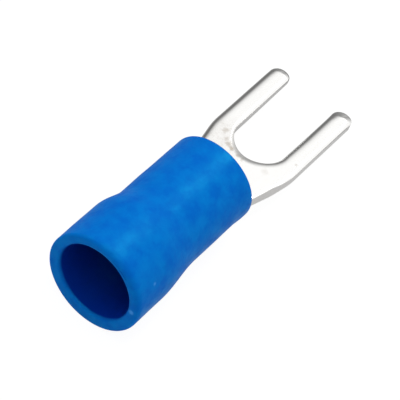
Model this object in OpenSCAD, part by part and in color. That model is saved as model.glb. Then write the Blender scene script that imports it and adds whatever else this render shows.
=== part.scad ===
// Pre-insulated fork terminal: a stamped and rolled tin-plated copper fork in a vinyl sleeve.
// The origin is the centre of the slot's round end, midway through the sheet.
// The slot opens towards +X, the wire leaves towards -X, and +Z is the top face of the fork.

/* [Sheet] */
// Thickness of the copper sheet
sheet_t = 0.7; // [0.6:0.05:0.9]
// Radius rolled onto the upper edges by the blanking punch
edge_upper_r = 0.3; // [0.1:0.02:0.36]
// Radius left on the lower edges after tumbling
edge_lower_r = 0.08; // [0.04:0.01:0.12]

/* [Fork] */
// Width of the slot, for an M3 stud
slot_w = 3.2; // [2.8:0.1:3.8]
// Width of one prong
prong_w = 1.25; // [1:0.05:1.6]
// From the centre of the slot's round end to the ends of the prongs
prong_reach = 5.55; // [4:0.05:8]
// From the centre of the slot's round end back to the corners where the neck begins
shoulder_back = 0.85; // [0.6:0.05:1.5]
// Length of the flat flared neck
neck_len = 2.8; // [2:0.1:4]
// Angle of each flared side of the neck, from the length of the terminal
neck_flare = 10.5; // [8:0.5:16]

/* [Barrel] */
// Bore of the rolled barrel, for a 1.5 to 2.5 mm2 conductor
wire_bore_d = 2.3; // [2.1:0.1:2.6]
// Length of the rolled barrel
barrel_len = 5; // [4:0.1:6]
// Length over which the flat neck curls up into the barrel
fold_len = 1.85; // [1.6:0.05:2.6]
// Gap left along the butt seam on top of the barrel
seam_gap = 0.08; // [0.04:0.02:0.2]

/* [Sleeve] */
// Wall of the vinyl sleeve at its mouth
mouth_wall = 0.74; // [0.6:0.02:1]
// Wall of the vinyl sleeve where it grips the barrel
grip_wall = 0.82; // [0.6:0.02:1]
// Bore of the wide mouth, for the wire's insulation
entry_bore_d = 4.6; // [4.3:0.1:5.2]
// Length of the straight wide mouth
entry_len = 3.05; // [2.4:0.05:5]
// Length of the shoulder between the mouth and the narrow front
sleeve_shoulder_len = 2.4; // [1.6:0.1:3]
// How far the sleeve reaches past the front of the barrel
front_lap = 0.2; // [0.15:0.05:0.5]
// Widening of the sleeve's bore over that reach
front_lead = 0.3; // [0.2:0.05:0.3]
// Gap between the sleeve and the barrel that it grips
grip_gap = 0.01; // [0:0.01:0.05]
// Rounding of the mouth's outer edge
mouth_outer_r = 0.2; // [0.04:0.02:0.3]
// Rounding of the mouth's inner edge
mouth_inner_r = 0.12; // [0.06:0.02:0.2]
// Rounding of the front's outer edge
front_r = 0.1; // [0.06:0.02:0.26]

/* [Hidden] */

$fn = 96;
edge_steps = 4;
shoulder_steps = 12;
fold_stations = 14;
fold_columns = 12;
// Overshoot of cutting shapes past the faces that they cut
cut_over = 1;
// How far the fold's sheet runs into the barrel's wall and into the neck
weld_lap = 0.4;
// How far inside their faces it lies there
weld_gap = 0.02;

half_t = sheet_t / 2;
fork_half_w = slot_w / 2 + prong_w;
prong_y = (slot_w + prong_w) / 2;
barrel_in_r = wire_bore_d / 2;
barrel_out_r = barrel_in_r + sheet_t;
barrel_mid_r = barrel_in_r + half_t;
// The sheet's mid-plane runs into the bottom of the barrel, so the barrel's axis is one mean radius above it
axis_z = barrel_mid_r;

x_tip_centre = prong_reach - prong_w / 2;
x_corner = -shoulder_back;
x_flat_end = x_corner - neck_len;
x_barrel_front = x_flat_end - fold_len;
x_barrel_rear = x_barrel_front - barrel_len;
x_sleeve_front = x_barrel_front + front_lap;
x_shoulder = x_barrel_rear - sleeve_shoulder_len;
x_mouth = x_shoulder - entry_len;

entry_r = entry_bore_d / 2;
wide_r = entry_r + mouth_wall;
grip_r = barrel_out_r + grip_gap;
narrow_r = grip_r + grip_wall;

// Smooth step that falls from 1 at u = 0 to 0 at u = 1
function ease(u) = (1 + cos(180 * u)) / 2;

function reversed(list) = [for (i = [len(list) - 1 : -1 : 0]) list[i]];
function flipped(list) = [for (p = list) [-p[0], p[1]]];

// Half width of the neck's blank at x, before it is curled up
function neck_half_w(x) = fork_half_w - (x_corner - x) * tan(neck_flare);

// Curvature of the sheet at x: the barrel's own at its front, none where the neck is flat
function fold_bend(x) = ease(min(max((x - x_barrel_front) / fold_len, 0), 1)) / barrel_mid_r;

// Rounded edge of the sheet as [inset, height] pairs, lower edge from the face to the side
function lower_edge() = [
    for (i = [0 : edge_steps])
        let (a = 90 * i / edge_steps)
        [edge_lower_r * (1 - sin(a)), -half_t + edge_lower_r * (1 - cos(a))]
];

// The same for the upper edge
function upper_edge() = [
    for (i = [0 : edge_steps])
        let (a = 90 * i / edge_steps)
        [edge_upper_r * (1 - sin(a)), half_t - edge_upper_r * (1 - cos(a))]
];

// Outline of the sheet's edge that faces outwards at half width w, from the lower face to the upper one
function outward_edge(w) = concat(
    [for (p = lower_edge()) [w - p[0], p[1]]],
    [for (p = reversed(upper_edge())) [w - p[0], p[1]]]
);

// Outline of a cut whose sides leave the same rounded edges on the sheet around it
function inward_edge(w) = concat(
    [[w + edge_lower_r, -half_t - cut_over]],
    [for (p = lower_edge()) [w + p[0], p[1]]],
    [for (p = reversed(upper_edge())) [w + p[0], p[1]]],
    [[w + edge_upper_r, half_t + cut_over]]
);

// Extrudes a section drawn in (Y, Z) along +X from x0 to x1
module along_x(x0, x1) {
    translate([x0, 0, 0])
        rotate([90, 0, 90])
            linear_extrude(height = x1 - x0)
                children();
}

// Turns a section drawn in (radius, X) about the barrel's axis
module about_barrel_axis() {
    translate([0, 0, axis_z])
        rotate([0, 90, 0])
            rotate_extrude()
                children();
}

// Sheet with one rounded edge that runs along the left flared side of the neck
module flared_side() {
    run = (x_tip_centre - x_flat_end + fork_half_w) * 2;
    translate([x_corner, fork_half_w, 0])
        rotate([0, 0, neck_flare])
            along_x(-run, run)
                polygon(concat(
                    [[-run, -half_t]],
                    outward_edge(0),
                    [[-run, half_t]]
                ));
}

// Flat blank of the neck and the fork, up to the centres of the prongs' round ends
module flat_blank() {
    side = outward_edge(fork_half_w);
    intersection() {
        along_x(x_flat_end, x_tip_centre)
            polygon(concat(side, reversed(flipped(side))));
        flared_side();
        mirror([0, 1, 0]) flared_side();
    }
}

// Round-bottomed slot with rounded edges
module slot_cut() {
    side = inward_edge(slot_w / 2);
    along_x(0, x_tip_centre + cut_over)
        polygon(concat(side, reversed(flipped(side))));
    rotate([0, 0, 90])
        rotate_extrude(angle = 180)
            polygon(concat(
                [[0, -half_t - cut_over]],
                side,
                [[0, half_t + cut_over]]
            ));
}

// Full-round end of one prong
module prong_end() {
    rotate([0, 0, -90])
        rotate_extrude(angle = 180)
            polygon(concat(
                [[0, -half_t]],
                outward_edge(prong_w / 2),
                [[0, half_t]]
            ));
}

// Fold between the flat neck and the barrel: the neck's section, bent about the length by fold_bend(x)
module fold() {
    // Places along the fold, each with how far inside the sheet's faces its section lies
    stations = concat(
        [[x_barrel_front - weld_lap, weld_gap], [x_barrel_front, weld_gap]],
        [for (i = [1 : fold_stations - 1]) [x_barrel_front + fold_len * i / fold_stations, 0]],
        [[x_flat_end, weld_gap], [x_flat_end + weld_lap, weld_gap]]
    );
    // Rounded edges are measured square to the flared side, so they are wider across the neck
    spread = 1 / cos(neck_flare);
    low = lower_edge();
    up = upper_edge();
    // Columns of the section from left to right, each [lower [s, n], upper [s, n]]
    function columns(w) = let (
        right = [
            for (i = [0 : edge_steps])
                [[w - low[i][0] * spread, low[i][1]], [w - up[i][0] * spread, up[i][1]]]
        ],
        left = [for (c = reversed(right)) [[-c[0][0], c[0][1]], [-c[1][0], c[1][1]]]],
        middle = [
            for (i = [1 : fold_columns - 1])
                let (u = 2 * i / fold_columns - 1)
                [[right[0][0][0] * u, -half_t], [right[0][1][0] * u, half_t]]
        ]
    ) concat(left, middle, right);
    // A sheet point at s across and n up, carried onto the bent section at x
    function bent(p, x, inset) = let (
        k = fold_bend(x),
        a = k * p[0] * 180 / PI,
        n = p[1] * (1 - inset / half_t),
        y = k > 0 ? sin(a) / k : p[0],
        z = k > 0 ? (1 - cos(a)) / k : 0
    ) [x, y - n * sin(a), z + n * cos(a)];
    cols = len(columns(1));
    rows = len(stations);
    points = [
        for (station = stations)
            let (x = station[0], inset = station[1])
            for (c = columns(neck_half_w(x) - inset))
                for (p = c)
                    bent(p, x, inset)
    ];
    function at(i, j, upper) = (i * cols + j) * 2 + upper;
    last_i = rows - 1;
    last_j = cols - 1;
    lower_skin = [
        for (i = [0 : last_i - 1]) for (j = [0 : last_j - 1])
            [at(i, j, 0), at(i + 1, j, 0), at(i + 1, j + 1, 0), at(i, j + 1, 0)]
    ];
    upper_skin = [
        for (i = [0 : last_i - 1]) for (j = [0 : last_j - 1])
            [at(i, j, 1), at(i, j + 1, 1), at(i + 1, j + 1, 1), at(i + 1, j, 1)]
    ];
    sides = [
        for (i = [0 : last_i - 1]) each [
            [at(i, 0, 0), at(i, 0, 1), at(i + 1, 0, 1), at(i + 1, 0, 0)],
            [at(i, last_j, 1), at(i, last_j, 0), at(i + 1, last_j, 0), at(i + 1, last_j, 1)]
        ]
    ];
    ends = [
        for (j = [0 : last_j - 1]) each [
            [at(0, j, 0), at(0, j + 1, 0), at(0, j + 1, 1), at(0, j, 1)],
            [at(last_i, j, 0), at(last_i, j, 1), at(last_i, j + 1, 1), at(last_i, j + 1, 0)]
        ]
    ];
    polyhedron(points, concat(lower_skin, upper_skin, sides, ends), convexity = 4);
}

// Rolled barrel, open at both ends, with its butt seam on top
module barrel() {
    difference() {
        about_barrel_axis()
            polygon([
                [barrel_in_r + edge_lower_r, x_barrel_rear],
                [barrel_out_r - edge_lower_r, x_barrel_rear],
                [barrel_out_r, x_barrel_rear + edge_lower_r],
                [barrel_out_r, x_barrel_front],
                [barrel_in_r, x_barrel_front],
                [barrel_in_r, x_barrel_rear + edge_lower_r]
            ]);
        translate([x_barrel_rear - cut_over, -seam_gap / 2, axis_z])
            cube([barrel_len + 2 * cut_over, seam_gap, barrel_out_r + cut_over]);
    }
}

// One stamping: fork, neck, fold and barrel
module fork_and_barrel() {
    color([0.86, 0.86, 0.85]) {
        difference() {
            flat_blank();
            slot_cut();
        }
        for (side = [-1, 1])
            translate([x_tip_centre, side * prong_y, 0])
                prong_end();
        fold();
        barrel();
    }
}

// Quarter round in the sleeve's (radius, X) section, from angle a0 to a1 about a centre
function corner(centre, r, a0, a1) = [
    for (i = [0 : edge_steps])
        let (a = a0 + (a1 - a0) * i / edge_steps)
        [centre[0] + r * cos(a), centre[1] + r * sin(a)]
];

// S-shaped shoulder from radius r0 at the mouth's end to r1 at the barrel's rear
function shoulder(r0, r1) = [
    for (i = [0 : shoulder_steps])
        let (u = i / shoulder_steps)
        [r1 + (r0 - r1) * ease(u), x_shoulder + sleeve_shoulder_len * u]
];

// Moulded vinyl sleeve with a wide mouth, a soft shoulder and a front that grips the barrel
module insulating_sleeve() {
    color([0.01, 0.41, 0.78])
        about_barrel_axis()
            polygon(concat(
                corner([entry_r + mouth_inner_r, x_mouth + mouth_inner_r], mouth_inner_r, 180, 270),
                corner([wide_r - mouth_outer_r, x_mouth + mouth_outer_r], mouth_outer_r, -90, 0),
                shoulder(wide_r, narrow_r),
                corner([narrow_r - front_r, x_sleeve_front - front_r], front_r, 0, 90),
                [[grip_r + front_lead, x_sleeve_front]],
                [[grip_r, x_barrel_front]],
                reversed(shoulder(entry_r, grip_r))
            ));
}

fork_and_barrel();
insulating_sleeve();
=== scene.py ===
import math

import bpy
import numpy as np
from mathutils import Matrix, Vector
from mathutils.geometry import delaunay_2d_cdt


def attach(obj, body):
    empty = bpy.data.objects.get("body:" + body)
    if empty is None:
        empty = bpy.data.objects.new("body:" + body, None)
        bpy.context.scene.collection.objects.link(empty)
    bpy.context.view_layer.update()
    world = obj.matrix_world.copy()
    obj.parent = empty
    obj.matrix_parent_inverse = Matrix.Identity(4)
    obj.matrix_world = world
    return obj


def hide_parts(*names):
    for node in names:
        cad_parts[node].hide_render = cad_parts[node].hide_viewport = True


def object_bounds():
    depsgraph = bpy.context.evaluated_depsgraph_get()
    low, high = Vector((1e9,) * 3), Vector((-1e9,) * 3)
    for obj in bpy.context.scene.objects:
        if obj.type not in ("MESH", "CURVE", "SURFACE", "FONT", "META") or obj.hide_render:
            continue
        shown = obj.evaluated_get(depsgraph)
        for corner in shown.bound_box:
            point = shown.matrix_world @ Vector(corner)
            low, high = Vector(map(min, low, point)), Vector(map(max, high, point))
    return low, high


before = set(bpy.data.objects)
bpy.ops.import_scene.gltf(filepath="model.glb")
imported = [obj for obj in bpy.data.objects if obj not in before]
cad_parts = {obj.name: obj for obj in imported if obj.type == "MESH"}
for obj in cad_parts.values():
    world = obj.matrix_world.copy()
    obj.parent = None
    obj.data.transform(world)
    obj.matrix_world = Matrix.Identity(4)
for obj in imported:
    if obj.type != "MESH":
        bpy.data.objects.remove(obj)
cad_low, cad_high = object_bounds()

# Fork and barrel
# One stamping of 0.7 mm copper strip, tinned all over. The blank is sheared flat, with an open slot
# for the stud between its two prongs, and its wide tail is then rolled up into the wire barrel,
# whose two edges butt together along the top.

MM = 0.001
half_sheet = 0.35
lower_edge_r = 0.08
prong_lower_r = 0.14
stud_slot_r = 1.6
prong_w = 1.25
fork_half_w = stud_slot_r + prong_w
prong_reach = 5.545
left_reach = 5.49
left_splay = 0.015
flare_corner_x = -0.85
flare_r = 5.0
neck_bend_x = -2.4
neck_bend_w = 2.58
neck_front_w = 1.75
neck_front_r = 0.25
flat_end_x = -3.9
barrel_front_x = -5.5
barrel_rear_x = -10.5
barrel_mid_r = 1.5
tail_front_r = 0.3
tail_rear_r = 0.25
seam_gap = 0.08
edge_step = 0.1
face_step = 0.14

fold_len = flat_end_x - barrel_front_x
tail_half_w = math.pi * barrel_mid_r - seam_gap / 2


def rounded_outline(corners, radii, spacing):
    """Points and headings round a closed polygon, anticlockwise, with its corners rounded.

    A corner that turns by t with radius r takes r tan(t/2) off both sides, and its arc lies about
    the point r to the left of the side before it, or to the right where the corner turns right.
    Arcs and straights are both stepped at about the spacing."""
    corners = np.asarray(corners, float)
    side = np.roll(corners, -1, axis=0) - corners
    length = np.linalg.norm(side, axis=1)
    side /= length[:, None]
    heading = np.arctan2(side[:, 1], side[:, 0])
    turn = (heading - np.roll(heading, 1) + math.pi) % (2 * math.pi) - math.pi
    trim = radii * np.tan(np.abs(turn) / 2)
    points, headings = [], []
    for i, r in enumerate(radii):
        hand = np.sign(turn[i])
        start = corners[i] - side[i - 1] * trim[i]
        centre = start + hand * r * np.array([-side[i - 1, 1], side[i - 1, 0]])
        steps = max(4, math.ceil(abs(turn[i]) * r / spacing))
        angle = heading[i - 1] + turn[i] * np.linspace(0, 1, steps + 1)
        points.append(centre + hand * r * np.stack([np.sin(angle), -np.cos(angle)], -1))
        headings.append(angle)
        straight = length[i] - trim[i] - np.roll(trim, -1)[i]
        steps = max(1, math.ceil(straight / spacing))
        along = trim[i] + straight * np.arange(1, steps) / steps
        points.append(corners[i] + along[:, None] * side[i])
        headings.append(np.full(len(along), heading[i]))
    points, headings = np.concatenate(points), np.concatenate(headings)
    apart = np.linalg.norm(points - np.roll(points, 1, axis=0), axis=1) > 1e-6
    return points[apart], headings[apart]


def lattice_fill(loop, spacing):
    """Points and triangles over the inside of a closed loop, anticlockwise.

    The points are the loop's own and those of a square lattice that lie inside it, by counting
    crossings, and clear of it by more than half a step. Delaunay's rule joins them."""
    low, high = loop.min(axis=0), loop.max(axis=0)
    steps = [np.arange(a + spacing / 2, b, spacing) for a, b in zip(low, high)]
    lattice = np.stack(np.meshgrid(*steps, indexing="ij"), -1).reshape(-1, 2)
    px, py = lattice[:, 0, None], lattice[:, 1, None]
    ax, ay = loop.T
    bx, by = np.roll(loop, -1, axis=0).T
    rise = np.where(by == ay, 1, by - ay)
    crossed = ((ay > py) != (by > py)) & (px < ax + (py - ay) * (bx - ax) / rise)
    inside = crossed.sum(axis=1) % 2 == 1
    clear = ((px - ax) ** 2 + (py - ay) ** 2).min(axis=1) > (0.6 * spacing) ** 2
    points = np.concatenate([loop, lattice[inside & clear]])
    rim = [list(range(len(loop)))]
    found = delaunay_2d_cdt(list(map(Vector, points.tolist())), [], rim, 1, 1e-9)
    filled, triangles = np.array(found[0]), np.array(found[2])
    a, b, c = (filled[triangles[:, k]] for k in range(3))
    area = (b[:, 0] - a[:, 0]) * (c[:, 1] - a[:, 1]) - (b[:, 1] - a[:, 1]) * (c[:, 0] - a[:, 0])
    triangles[area < 0] = triangles[area < 0][:, ::-1]
    return filled, triangles


def rolled_up(x, s, n):
    """Where a point of the blank goes when its tail is rolled: x along the strip, s across it from
    the middle line, n above the middle of the sheet.

    Across the strip the sheet follows a circle of curvature k(x): none on the flat, 1/R in the
    barrel, and half a cosine between. So y = sin(ks)/k - n sin(ks), z = (1 - cos(ks))/k + n cos(ks)."""
    eased = np.clip((x - barrel_front_x) / fold_len, 0, 1)
    angle = (1 + np.cos(math.pi * eased)) / 2 / barrel_mid_r * s
    half = np.sin(angle / 2) * np.sinc(angle / 2 / math.pi)
    y = s * np.sinc(angle / math.pi) - n * np.sin(angle)
    z = s * half + n * np.cos(angle)
    return np.stack([x, y, z], -1)


def new_piece(name, points, faces, material, **attributes):
    """A smooth-shaded mesh object at the origin from points in mm, with float attributes."""
    mesh = bpy.data.meshes.new(name)
    mesh.from_pydata((points * MM).tolist(), [], faces)
    mesh.polygons.foreach_set("use_smooth", np.ones(len(mesh.polygons), bool))
    for label, values in attributes.items():
        layer = mesh.attributes.new(label, "FLOAT", "POINT")
        layer.data.foreach_set("value", np.asarray(values, np.float32))
    mesh.materials.append(material)
    piece = bpy.data.objects.new(name, mesh)
    bpy.context.scene.collection.objects.link(piece)
    return piece


def new_material(name):
    """A material with its Principled shader, and a function that adds a node with its settings."""
    material = bpy.data.materials.new(name)
    material.use_nodes = True
    return material, node_adder(material.node_tree), material.node_tree.nodes["Principled BSDF"]


def node_adder(tree):
    """A function that adds a node to the tree: node properties by name, socket values by position
    or name, and a socket as a value makes a link."""
    def add(kind, sockets=None, **properties):
        node = tree.nodes.new(kind)
        for key, value in properties.items():
            setattr(node, key, value)
        for key, value in (sockets or {}).items():
            if isinstance(value, bpy.types.NodeSocket):
                tree.links.new(value, node.inputs[key])
            else:
                node.inputs[key].default_value = value
        return node
    return add


def spot(add, place, centre, inner, outer):
    """1 within the inner distance of a point, falling to 0 at the outer one; all in mm."""
    away = add("ShaderNodeVectorMath", {0: place, 1: Vector(centre) * MM}, operation="DISTANCE")
    fall = add("ShaderNodeMapRange", {
        "Value": away.outputs["Value"],
        "From Min": inner * MM, "From Max": outer * MM, "To Min": 1.0, "To Max": 0.0,
    }, interpolation_type="SMOOTHSTEP")
    return fall.outputs[0]


# The right half of the blank's outline from the barrel's rear to the slot: x, s and corner radius.
# The neck narrows from the flare, and a little faster from its bend on
half_blank = [
    (barrel_rear_x, -tail_half_w, tail_rear_r),
    (barrel_front_x, -tail_half_w, tail_front_r),
    (barrel_front_x, -neck_front_w, neck_front_r),
    (neck_bend_x, -neck_bend_w, flare_r),
    (flare_corner_x, -fork_half_w, flare_r),
    (prong_reach, -fork_half_w, prong_w / 2),
    (prong_reach, -stud_slot_r, prong_w / 2),
    (-stud_slot_r, -stud_slot_r, stud_slot_r),
]
# The left prong is a little shorter than the right one, and bent a little outwards
left_half = [(x, -s, r) for x, s, r in reversed(half_blank)]
left_half[1:4] = [
    (left_reach, stud_slot_r + left_splay, prong_w / 2),
    (left_reach, fork_half_w + 1.5 * left_splay, prong_w / 2),
    (flare_corner_x, fork_half_w + left_splay, flare_r),
]
blank = np.array(half_blank + left_half)
edge, edge_heading = rounded_outline(blank[:, :2], blank[:, 2], edge_step)
edge_out = np.stack([np.sin(edge_heading), -np.cos(edge_heading)], -1)

# Stretches of the edge, each 1 along its own stretch and eased to 0 outside it. Near is the tolerance
# that takes a point on the slot's wall as in the slot
near = 0.01
edge_x, edge_s = edge[:, 0], edge[:, 1]
on_flat = np.interp(edge_x, [barrel_front_x, barrel_front_x + 0.2], [0, 1])
on_tip = np.interp(edge_x, [prong_reach - 1.1, prong_reach - 0.3], [0, 1])
right_tip = on_tip * (edge_s < 0)
on_prong = np.interp(edge_x, [flare_corner_x - 1, flare_corner_x + 1.5], [0, 1])
in_slot = np.interp(edge_x, [-1.0, 2.2], [1, 0]) * (np.abs(edge_s) < stud_slot_r + near) * on_flat
right_neck = (1 - on_prong) * (edge_s < -stud_slot_r - near) * on_flat
at_bottom = in_slot * np.clip(edge_out[:, 0], 0, 1) ** 4
at_turn = in_slot * np.clip(2 * edge_out[:, 0] * edge_out[:, 1], 0, 1)
faces_right = np.interp(-edge_out[:, 1], [0.3, 0.9], [0, 1]) * on_flat
faces_left = np.interp(edge_out[:, 1], [0.6, 1.0], [0, 1]) * on_flat * (1 - on_tip)

# Punch and tumbling roll the upper edge over, further inwards than down: most at the prongs' tips,
# less round the slot and along the edges that face right, and hardly on the barrel's. Each stretch
# adds its share to the roll inwards and to the roll down
roll_shares = [
    (on_flat, 0.42, 0.20),
    (on_tip, 0.08, 0.03),
    (right_tip, 0.0, -0.11),
    (in_slot, -0.10, -0.10),
    (at_bottom, 0.08, -0.02),
    (at_turn, 0.0, -0.06),
    (faces_right, -0.20, -0.08),
    (right_neck, -0.10, -0.14),
    (faces_left, 0.08, 0.02),
]
roll_in = lower_edge_r + sum(inwards * where for where, inwards, down in roll_shares)
roll_down = lower_edge_r + sum(down * where for where, inwards, down in roll_shares)
# The roll is a quarter of an ellipse, of power 2, but worn flatter at the slot's bottom and the tips
flatter = 0.25 * on_tip + 0.55 * right_tip + 0.5 * at_bottom
roll_power = 2 / (2 - flatter)

# The prongs' lower edge is rounded too, most on the left prong's inner side towards its tip
worn_foot_r = 0.24
inner_left = np.interp(edge_s, [0, 0.1, stud_slot_r + 0.1, fork_half_w], [0, 1, 1, 0])
worn_foot = inner_left * np.interp(edge_x, [1.0, prong_reach], [0, worn_foot_r])
foot_r = lower_edge_r + (prong_lower_r - lower_edge_r) * on_prong + worn_foot

# The right of the neck is sheared at a slant, its upper edge a little further in
slant = right_neck * np.interp(edge_x, [-3.6, -3.0, -2.4, -1.7], [0.03, 0.055, 0.09, 0])

# The edge's section, from the upper face round to the lower one: inset and height, a row a step
roll_angle = np.radians(np.linspace(0, 90, 13))[:, None]
foot_angle = np.radians(np.linspace(0, 90, 9))[:, None]
down_wall = np.linspace(0, 1, 6)[1:-1, None]
margin = 0.03
inset = np.concatenate([
    roll_in[None] + slant + margin,
    roll_in * (1 - np.sin(roll_angle) ** roll_power) + slant,
    slant * (1 - down_wall),
    foot_r * (1 - np.cos(foot_angle)),
    foot_r[None] + margin,
])
wall_top = half_sheet - roll_down
wall_foot = foot_r - half_sheet
height = np.concatenate([
    0 * roll_down[None] + half_sheet,
    half_sheet - roll_down * (1 - np.cos(roll_angle).clip(0) ** roll_power),
    wall_top + (wall_foot - wall_top) * down_wall,
    foot_r * (1 - np.sin(foot_angle)) - half_sheet,
    0 * foot_r[None] - half_sheet,
])
rim_xy = edge[None] - inset[..., None] * edge_out[None]
rows, around = inset.shape

i, j = np.meshgrid(np.arange(rows - 1), np.arange(around), indexing="ij")
j_next = (j + 1) % around
rim_faces = np.stack([
    i * around + j, (i + 1) * around + j, (i + 1) * around + j_next, i * around + j_next,
], -1).reshape(-1, 4)

upper_xy, upper_tri = lattice_fill(rim_xy[0], face_step)
lower_xy, lower_tri = lattice_fill(rim_xy[-1], face_step)
upper_inner, lower_inner = upper_xy[around:], lower_xy[around:]
upper_start = rows * around
lower_start = upper_start + len(upper_inner)
upper_tri = np.where(upper_tri < around, upper_tri, upper_tri - around + upper_start)
lower_rim = (rows - 1) * around
lower_tri = np.where(lower_tri < around, lower_tri + lower_rim, lower_tri - around + lower_start)

blank_xy = np.concatenate([rim_xy.reshape(-1, 2), upper_inner, lower_inner])
blank_n = np.concatenate([
    height.ravel(),
    np.full(len(upper_inner), half_sheet),
    np.full(len(lower_inner), -half_sheet),
])
# How much of the sheared edge shows (1 on its wall), and the way along it, for the shear marks
shear_row = np.clip((half_sheet - height) / roll_down * 2 - 1, 0, 1)
shear_row *= np.clip((height + half_sheet) / foot_r, 0, 1)
flat_count = len(upper_inner) + len(lower_inner)
shear = np.concatenate([shear_row.ravel(), np.zeros(flat_count)])
run_once = np.cumsum(np.linalg.norm(edge - np.roll(edge, 1, axis=0), axis=1))
run = np.concatenate([np.tile(run_once, rows), np.zeros(flat_count)])

tin, add, tin_shader = new_material("Tinned copper")
place = add("ShaderNodeTexCoord").outputs["Object"]
along_strip = add("ShaderNodeMapping", {"Vector": place, "Scale": (400, 9000, 9000)})
grain = add("ShaderNodeTexNoise", {"Vector": along_strip.outputs[0], "Scale": 1.0, "Detail": 4.0})
smudge = add("ShaderNodeTexNoise", {
    "Vector": place, "Scale": 2400.0, "Detail": 5.0, "Roughness": 0.65,
})
patch = add("ShaderNodeMapRange", {
    "Value": smudge.outputs["Fac"],
    "From Min": 0.46, "From Max": 0.70, "To Min": 0.12, "To Max": 0.38,
})
handled = spot(add, place, (-1.5, 1.7, half_sheet), 0.6, 2.0)
marks = add("ShaderNodeMath", {0: handled, 1: patch.outputs[0]}, operation="MULTIPLY")

# Small marks on the upper face, each blurred out of round: place, inner and outer size, strength
face_marks = [
    ((-0.99, 1.86), 0.05, 0.26, 0.55),
    ((-1.45, 1.45), 0.03, 0.22, 0.45),
    ((-1.74, 1.14), 0.06, 0.30, 0.70),
    ((-1.82, 0.80), 0.05, 0.24, 0.80),
    ((-1.97, 0.25), 0.04, 0.22, 0.65),
    ((-2.05, -0.05), 0.03, 0.18, 0.45),
    ((-1.74, -1.51), 0.05, 0.35, 0.25),
    ((0.04, -2.44), 0.03, 0.14, 0.70),
]
mark_blur = 0.5 * MM
spread = add("ShaderNodeVectorMath", {
    0: smudge.outputs["Color"], 1: (0.5, 0.5, 0.5),
}, operation="SUBTRACT")
blurred = add("ShaderNodeVectorMath", {
    0: spread.outputs[0], 1: (mark_blur,) * 3, 2: place,
}, operation="MULTIPLY_ADD")
for (mark_x, mark_y), inner, outer, strength in face_marks:
    mark = spot(add, blurred.outputs[0], (mark_x, mark_y, half_sheet), inner, outer)
    marks = add("ShaderNodeMath", {
        0: mark, 1: strength, 2: marks.outputs[0],
    }, operation="MULTIPLY_ADD")
face_tone = add("ShaderNodeMix", {
    "Factor": marks.outputs[0],
    "A": (0.94, 0.935, 0.92, 1), "B": (0.56, 0.51, 0.45, 1),
}, data_type="RGBA")
sheared = add("ShaderNodeAttribute", attribute_name="shear")
way = add("ShaderNodeAttribute", attribute_name="run")
drag = add("ShaderNodeCombineXYZ", {"X": way.outputs["Fac"], "Y": sheared.outputs["Fac"]})
drag_marks = add("ShaderNodeTexNoise", {
    "Vector": drag.outputs[0], "Scale": 9.0, "Detail": 3.0, "Roughness": 0.6,
})
wall_tone = add("ShaderNodeMix", {
    "Factor": drag_marks.outputs["Fac"],
    "A": (0.80, 0.79, 0.78, 1), "B": (0.90, 0.89, 0.87, 1),
}, data_type="RGBA")
tone = add("ShaderNodeMix", {
    "Factor": sheared.outputs["Fac"],
    "A": face_tone.outputs["Result"], "B": wall_tone.outputs["Result"],
}, data_type="RGBA")
sheen = add("ShaderNodeMapRange", {
    "Value": grain.outputs["Fac"],
    "From Min": 0.3, "From Max": 0.7, "To Min": 0.12, "To Max": 0.18,
})
dull = add("ShaderNodeMath", {
    0: sheared.outputs["Fac"], 1: 0.18, 2: sheen.outputs[0],
}, operation="MULTIPLY_ADD")
relief = add("ShaderNodeMath", {
    0: drag_marks.outputs["Fac"], 1: sheared.outputs["Fac"],
}, operation="MULTIPLY")
surface = add("ShaderNodeMath", {
    0: grain.outputs["Fac"], 1: 0.25, 2: relief.outputs[0],
}, operation="MULTIPLY_ADD")
tin_bump = add("ShaderNodeBump", {
    "Height": surface.outputs[0], "Strength": 0.35, "Distance": 0.01 * MM,
})
tin_shader.inputs["Metallic"].default_value = 1.0
tin.node_tree.links.new(tone.outputs["Result"], tin_shader.inputs["Base Color"])
tin.node_tree.links.new(dull.outputs[0], tin_shader.inputs["Roughness"])
tin.node_tree.links.new(tin_bump.outputs[0], tin_shader.inputs["Normal"])

fork = new_piece(
    "fork_and_barrel_stamping",
    rolled_up(blank_xy[:, 0], blank_xy[:, 1], blank_n),
    rim_faces.tolist() + upper_tri.tolist() + lower_tri[:, ::-1].tolist(),
    tin, shear=shear, run=run,
)
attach(fork, "root")
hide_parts("fork_and_barrel")

# Insulating sleeve
# A thick-walled tube of blue vinyl, moulded with a wide mouth for the wire's own insulation and a
# soft shoulder down to the narrow front, which is pushed over the barrel and grips it.

mouth_x = -15.95
shoulder_x = -12.9
sleeve_front_x = -5.3
entry_r = 2.3
wide_r = 3.04
grip_r = 1.86
narrow_r = 2.68
front_lead = 0.3
mouth_outer_r = 0.42
mouth_outer_least_r = 0.06
mouth_inner_r = 0.2
mouth_edge_steps = 8
front_r = 0.1
front_edge_steps = 8
around_steps = 240
bore_shade_fade = 0.2

# The shoulder is drawn out longer on the right of the sleeve than on its left
left_side = math.radians(17)
start_mean, start_swing = -13.02, 0.42
end_mean, end_swing = -10.38, -0.27

# Small departures of both parts from a true tube, and of the front end from a square one
narrow_over = 0.02
narrow_left = 0.019
narrow_front = 0.018
lip_out = 0.027
swell_out, swell_x, swell_len = 0.02, -8.9, 0.8
wide_under = 0.022
wide_left = 0.004
wave_r = 0.003
lean_way = math.radians(108)
lean_back = 0.14
front_forward = 0.05

# The mouth is a little out of round, widest towards the upper left and the lower right, and its bore
# lies a little high and to the left. Its outer edge is well rounded on the upper right alone
oval, oval_way = 0.06, math.radians(50)
bore_left, bore_up = 0.03, 0.04
soft_way = math.radians(125)


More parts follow.
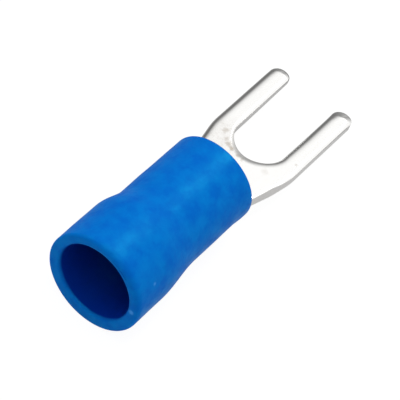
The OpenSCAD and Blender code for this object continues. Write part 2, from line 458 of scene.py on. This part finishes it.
def quarter(centre_x, centre_r, r, first, last, steps):
    """Arc of a rounded edge in the sleeve's section, as x and radius, between two angles in
    degrees measured from +x towards outwards."""
    angle = np.radians(np.linspace(first, last, steps + 1))
    return np.stack([centre_x + r * np.cos(angle), centre_r + r * np.sin(angle)], -1)


def straight(a, b, steps):
    """Points between two section points, both ends left out."""
    t = np.arange(1, steps)[:, None] / steps
    return np.array(a) * (1 - t) + np.array(b) * t


def sleeve_surface(section, angle):
    """The sleeve's points: its closed section (x, r) carried round the barrel's axis.

    On the outer wall r is replaced by narrow + (wide - narrow)(1 + cos(pi u))/2, where u runs from
    0 to 1 along a shoulder whose two ends shift as the cosine of the angle from the left side. The
    narrow part thins a little towards the front, where its right side is pressed outwards, and three
    waves run over the whole wall. Both walls of the mouth are out of round by the cosine of twice
    the angle, which dies out along the shoulder, and so does the bore's shift. The front end leans
    back at the top and stands a little forward elsewhere. Points of the mouth's outer edge are drawn
    towards its corner, where the edge is to be sharper."""
    soft = ((1 + np.cos(angle - soft_way)) / 2)[None] ** 2
    edge_r = mouth_outer_least_r + (mouth_outer_r - mouth_outer_least_r) * soft
    sharper = section[:, 3, None] * (1 - edge_r / mouth_outer_r)
    x = section[:, 0, None] + (mouth_x - section[:, 0, None]) * sharper
    left = np.cos(angle - left_side)[None]
    start = start_mean + start_swing * left
    end = end_mean + end_swing * left
    eased = (1 + np.cos(math.pi * np.clip((x - start) / (end - start), 0, 1))) / 2
    forward = np.clip((x - barrel_rear_x) / (sleeve_front_x - barrel_rear_x), 0, 1)
    lip = (1 - np.cos(math.pi * np.clip((forward - 0.75) / 0.2, 0, 1))) / 2
    swell = np.exp(-((x - swell_x) / swell_len) ** 2) * np.clip(left, 0, 1)
    narrow = narrow_r + narrow_over - narrow_left * left - narrow_front * forward
    narrow = narrow + lip_out * lip * (1 - left) + swell_out * swell
    wide = wide_r - wide_under + wide_left * left
    waves = (
        np.cos(2 * angle + 1.1)[None] * np.cos(0.9 * x + 0.4)
        + np.cos(3 * angle + 2.3)[None] * np.cos(1.7 * x + 1.9)
        + np.cos(5 * angle + 0.7)[None] * np.cos(2.6 * x + 3.1)
    )
    outer = narrow + (wide - narrow) * eased + wave_r * waves
    drawn = shoulder_r(x, narrow_r, wide_r)
    squeezed = np.clip((barrel_rear_x - x) / (barrel_rear_x - mouth_x), 0, 1) ** 0.7
    r = section[:, 1, None] + (wide_r - section[:, 1, None]) * sharper
    r = r + section[:, 2, None] * (outer - drawn)
    r = r + oval * squeezed * np.cos(2 * (angle - oval_way))[None]
    at_top = np.clip(np.cos(angle - lean_way), 0, 1)[None] ** 1.5
    lean = forward ** 6 * (lean_back * at_top - front_forward)
    bore = squeezed * (1 - section[:, 2, None])
    return np.stack([
        x - lean,
        r * np.cos(angle)[None] + bore_left * bore,
        barrel_mid_r + r * np.sin(angle)[None] + bore_up * bore,
    ], -1)


def shoulder_r(x, low_r, high_r):
    """Radius along the moulded shoulder as drawn: half a cosine from the wide end to the narrow."""
    u = np.clip((x - shoulder_x) / (barrel_rear_x - shoulder_x), 0, 1)
    return low_r + (high_r - low_r) * (1 + np.cos(math.pi * u)) / 2


outer_x = np.linspace(mouth_x + mouth_outer_r, sleeve_front_x - front_r, 110)[1:-1]
funnel_x = np.linspace(barrel_rear_x, shoulder_x, 20)
outside = np.concatenate([
    quarter(mouth_x + mouth_outer_r, wide_r - mouth_outer_r, mouth_outer_r, 180, 90, mouth_edge_steps),
    np.stack([outer_x, shoulder_r(outer_x, narrow_r, wide_r)], -1),
    quarter(sleeve_front_x - front_r, narrow_r - front_r, front_r, 90, 0, front_edge_steps),
])
inside = np.concatenate([
    straight((sleeve_front_x, narrow_r - front_r), (sleeve_front_x, grip_r + front_lead), 3),
    [(sleeve_front_x, grip_r + front_lead)],
    straight((sleeve_front_x, grip_r + front_lead), (barrel_front_x, grip_r), 4),
    [(barrel_front_x, grip_r)],
    straight((barrel_front_x, grip_r), (barrel_rear_x, grip_r), 16),
    np.stack([funnel_x, shoulder_r(funnel_x, grip_r, entry_r)], -1),
    straight((shoulder_x, entry_r), (mouth_x + mouth_inner_r, entry_r), 12),
    quarter(mouth_x + mouth_inner_r, entry_r + mouth_inner_r, mouth_inner_r, -90, -180, 6),
    straight((mouth_x, entry_r + mouth_inner_r), (mouth_x, wide_r - mouth_outer_r), 4),
])
is_outside = np.concatenate([np.ones(len(outside)), np.zeros(len(inside))])
is_mouth_edge = np.arange(len(outside) + len(inside)) <= mouth_edge_steps
section = np.column_stack([np.concatenate([outside, inside]), is_outside, is_mouth_edge])
angle = np.linspace(0, 2 * math.pi, around_steps, endpoint=False)
skin = sleeve_surface(section, angle)

rows, around = skin.shape[:2]
# How far into the bore a point lies, for painted shade: the vinyl's colour darkens into the bore
is_bore = section[:, 1] < entry_r + mouth_inner_r
depth = np.clip((section[:, 0] - mouth_x) / bore_shade_fade, 0, 1) * is_bore
i, j = np.meshgrid(np.arange(rows), np.arange(around), indexing="ij")
i_next, j_next = (i + 1) % rows, (j + 1) % around
skin_faces = np.stack([
    i * around + j, i * around + j_next, i_next * around + j_next, i_next * around + j,
], -1).reshape(-1, 4)

vinyl, add, vinyl_shader = new_material("Blue vinyl")
place = add("ShaderNodeTexCoord").outputs["Object"]
# Cloudy mottle over the vinyl: it makes the roughness patchy, and it mixes a paler tone into the colour
cloud = add("ShaderNodeTexNoise", {
    "Vector": place, "Scale": 1150.0, "Detail": 5.0, "Roughness": 0.62,
})
mottle_and_painted_sheen = add("ShaderNodeMapRange", {
    "Value": cloud.outputs["Fac"], "From Min": 0.36, "From Max": 0.64,
})
# The paler tone is partly random tone and partly painted sheen: patchy gloss painted into the colour
vinyl_tone_and_painted_sheen = add("ShaderNodeMix", {
    "Factor": mottle_and_painted_sheen.outputs[0],
    "A": (0.0004, 0.125, 0.605, 1), "B": (0.0008, 0.180, 0.660, 1),
}, data_type="RGBA")
# Two paler specks, one on the mouth's rim and one on the right side
rim_speck = spot(add, place, (mouth_x, -2.55, barrel_mid_r), 0.05, 0.22)
side_speck = spot(add, place, (-14.5, -2.72, 2.83), 0.03, 0.16)
specks = add("ShaderNodeMath", {0: rim_speck, 1: side_speck}, operation="MAXIMUM")
in_bore_shade = add("ShaderNodeAttribute", attribute_name="depth")
# Painted shade: the colour turns a darker blue inside the bore, where the hollow lies in shade
bore_painted_shade = add("ShaderNodeMix", {
    "Factor": in_bore_shade.outputs["Fac"],
    "A": vinyl_tone_and_painted_sheen.outputs["Result"], "B": (0.0004, 0.027, 0.31, 1),
}, data_type="RGBA")
specked = add("ShaderNodeMix", {
    "Factor": specks.outputs[0],
    "A": bore_painted_shade.outputs["Result"], "B": (0.06, 0.30, 0.82, 1),
}, data_type="RGBA")
vinyl_sheen = add("ShaderNodeMapRange", {
    "Value": mottle_and_painted_sheen.outputs[0], "To Min": 0.44, "To Max": 0.29,
})
peel = add("ShaderNodeTexNoise", {
    "Vector": place, "Scale": 1700.0, "Detail": 4.0, "Roughness": 0.6,
})
vinyl_bump = add("ShaderNodeBump", {
    "Height": peel.outputs["Fac"], "Strength": 0.5, "Distance": 0.07 * MM,
})
vinyl_shader.inputs["Specular IOR Level"].default_value = 0.02
vinyl_shader.inputs["Specular Tint"].default_value = (0.9, 19.5, 18.5, 1)
vinyl.node_tree.links.new(specked.outputs["Result"], vinyl_shader.inputs["Base Color"])
vinyl.node_tree.links.new(vinyl_sheen.outputs[0], vinyl_shader.inputs["Roughness"])
vinyl.node_tree.links.new(vinyl_bump.outputs[0], vinyl_shader.inputs["Normal"])

sleeve = new_piece(
    "insulating_sleeve_moulding", skin.reshape(-1, 3), skin_faces.tolist(), vinyl,
    depth=np.repeat(depth, around),
)
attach(sleeve, "root")
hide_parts("insulating_sleeve")

# Floor and world
# A plain pale sheet under the part in a room that is dark beside it and white above. The camera
# sees both as white, and the sheet keeps a faint share of its own shading, and so the part's shadow.

floor_z = cad_low[2]
floor_half = 0.6

paper, add, paper_shader = new_material("White paper")
path = add("ShaderNodeLightPath").outputs
# To glossy rays the sheet is not lit but glows at a fixed strength, lower to the left, beyond the mouth
# and beyond the prongs' tips: painted shade of the floor, seen only in the part's reflections
across = add("ShaderNodeSeparateXYZ", {"Vector": add("ShaderNodeTexCoord").outputs["Object"]})
reflected_shade_left = add("ShaderNodeMapRange", {
    "Value": across.outputs["Y"],
    "From Min": -2 * MM, "From Max": 6 * MM, "To Min": 0.62, "To Max": 0.36,
}, interpolation_type="SMOOTHSTEP")
behind = add("ShaderNodeMapRange", {
    "Value": across.outputs["X"],
    "From Min": -21 * MM, "From Max": -14 * MM, "To Min": 0.24, "To Max": 0.62,
}, interpolation_type="SMOOTHSTEP")
ahead = add("ShaderNodeMapRange", {
    "Value": across.outputs["X"],
    "From Min": 5.5 * MM, "From Max": 9 * MM, "To Min": 0.62, "To Max": 0.26,
}, interpolation_type="SMOOTHSTEP")
reflected_shade_ends = add("ShaderNodeMath", {
    0: ahead.outputs[0], 1: behind.outputs[0],
}, operation="MINIMUM")
mirrored = add("ShaderNodeMath", {
    0: reflected_shade_left.outputs[0], 1: reflected_shade_ends.outputs[0],
}, operation="MINIMUM")
painted_floor_reflection = add("ShaderNodeEmission", {"Color": (1, 1, 1, 1), "Strength": mirrored.outputs[0]})
paper_shader.inputs["Base Color"].default_value = (0.88, 0.88, 0.88, 1)
paper_shader.inputs["Roughness"].default_value = 1.0
paper_shader.inputs["Specular IOR Level"].default_value = 0.0
glow = add("ShaderNodeEmission", {"Color": (1, 1, 1, 1), "Strength": 0.94})
shade = add("ShaderNodeBsdfDiffuse", {"Color": (0.11, 0.11, 0.11, 1)})
white_sheet = add("ShaderNodeAddShader", {0: glow.outputs[0], 1: shade.outputs[0]})
seen = add("ShaderNodeMath", {
    0: path["Is Camera Ray"], 1: path["Is Transmission Ray"],
}, operation="MAXIMUM")
unseen = add("ShaderNodeMixShader", {
    0: path["Is Glossy Ray"], 1: paper_shader.outputs[0], 2: painted_floor_reflection.outputs[0],
})
blend = add("ShaderNodeMixShader", {
    0: seen.outputs[0], 1: unseen.outputs[0], 2: white_sheet.outputs[0],
})
paper_out = paper.node_tree.nodes["Material Output"]
paper.node_tree.links.new(blend.outputs[0], paper_out.inputs["Surface"])

corners = np.array([(-1, -1), (1, -1), (1, 1), (-1, 1)]) * floor_half / MM
floor = new_piece(
    "floor", np.column_stack([corners, np.full(4, floor_z / MM)]), [[0, 1, 2, 3]], paper,
)

world = bpy.data.worlds.new("White room")
world.use_nodes = True
bpy.context.scene.world = world
add = node_adder(world.node_tree)
path = add("ShaderNodeLightPath").outputs
seen = add("ShaderNodeMath", {
    0: path["Is Camera Ray"], 1: path["Is Transmission Ray"],
}, operation="MAXIMUM")
bearing = add("ShaderNodeTexCoord").outputs["Object"]
bearing_parts = add("ShaderNodeSeparateXYZ", {"Vector": bearing}).outputs
low_down = add("ShaderNodeMapRange", {
    "Value": bearing_parts["Z"],
    "From Min": math.sin(math.radians(20)), "From Max": math.sin(math.radians(48)),
    "To Min": 1.0, "To Max": 0.0,
}, interpolation_type="SMOOTHSTEP")
far_left = add("ShaderNodeVectorMath", {
    0: bearing, 1: (math.cos(math.radians(75)), math.sin(math.radians(75)), 0),
}, operation="DOT_PRODUCT")
beside = add("ShaderNodeMapRange", {
    "Value": far_left.outputs["Value"],
    "From Min": -0.35, "From Max": 0.95, "To Min": 0.0, "To Max": 0.88,
}, interpolation_type="SMOOTHSTEP")
dark_part = add("ShaderNodeMath", {
    0: low_down.outputs[0], 1: beside.outputs[0],
}, operation="MULTIPLY")
mirrored = add("ShaderNodeMath", {0: 1.04, 1: dark_part.outputs[0]}, operation="SUBTRACT")
ahead_and_up = add("ShaderNodeVectorMath", {
    0: bearing, 1: (1, 0, 0.5),
}, operation="DOT_PRODUCT")
ambient = add("ShaderNodeMapRange", {
    "Value": ahead_and_up.outputs["Value"],
    "From Min": -0.7, "From Max": 0.15, "To Min": 0.03, "To Max": 0.50,
}, interpolation_type="SMOOTHSTEP")
unseen = add("ShaderNodeMix", {
    "Factor": path["Is Glossy Ray"], "A": ambient.outputs[0], "B": mirrored.outputs[0],
})
level = add("ShaderNodeMix", {"Factor": seen.outputs[0], "A": unseen.outputs[0], "B": 1.0})
room = world.node_tree.nodes["Background"]
room.inputs["Color"].default_value = (1, 1, 1, 1)
world.node_tree.links.new(level.outputs[0], room.inputs["Strength"])

# Lamps
# One long soft lamp stands high beyond the prongs, so that it shines along the top of the sleeve. A
# weaker one lights the left side, and a third, high behind the part, the rim of the mouth.

middle = (cad_low + cad_high) / 2


def soft_lamp(name, azimuth, elevation, distance, width, height, power):
    """An oblong area lamp that faces the part, from an azimuth (from +X towards +Y) and elevation."""
    a, e = math.radians(azimuth), math.radians(elevation)
    towards = Vector((math.cos(e) * math.cos(a), math.cos(e) * math.sin(a), math.sin(e)))
    lamp = bpy.data.lights.new(name, "AREA")
    lamp.shape = "RECTANGLE"
    lamp.size, lamp.size_y = width, height
    lamp.energy = power
    holder = bpy.data.objects.new(name, lamp)
    holder.location = middle + towards * distance
    holder.rotation_euler = towards.to_track_quat("Z", "Y").to_euler()
    bpy.context.scene.collection.objects.link(holder)
    return holder


soft_lamp(
    "key lamp", azimuth=-6, elevation=66, distance=0.40, width=0.11, height=0.36, power=0.565,
)
soft_lamp(
    "left lamp", azimuth=100, elevation=35, distance=0.45, width=0.30, height=0.30, power=0.30,
)
soft_lamp(
    "rim lamp", azimuth=196, elevation=60, distance=0.45, width=0.30, height=0.30, power=0.46,
)

# Camera
# A long lens behind the mouth and to the right of the sleeve, looking down along it.

camera_at = Vector((-101.6876, -36.8701, 118.5832)) * MM
heading, fall, roll = (math.radians(a) for a in (21.02104, 49.12503, 20.86578))
forward = Vector((
    math.cos(fall) * math.cos(heading), math.cos(fall) * math.sin(heading), -math.sin(fall),
))
sideways = forward.cross(Vector((0, 0, 1))).normalized()
upright = sideways.cross(forward)
right = math.cos(roll) * sideways + math.sin(roll) * upright
up = math.cos(roll) * upright - math.sin(roll) * sideways
focal_px, frame_px = 2841.522, 400
eye = bpy.data.cameras.new("camera")
eye.sensor_width = 36.0
eye.lens = focal_px / frame_px * eye.sensor_width
eye.clip_start, eye.clip_end = 0.005, 10.0
camera = bpy.data.objects.new("camera", eye)
turned = Matrix((right, up, -forward)).transposed().to_4x4()
camera.matrix_world = Matrix.Translation(camera_at) @ turned
bpy.context.scene.collection.objects.link(camera)
bpy.context.scene.camera = camera
bpy.context.scene.view_settings.view_transform = "Standard"
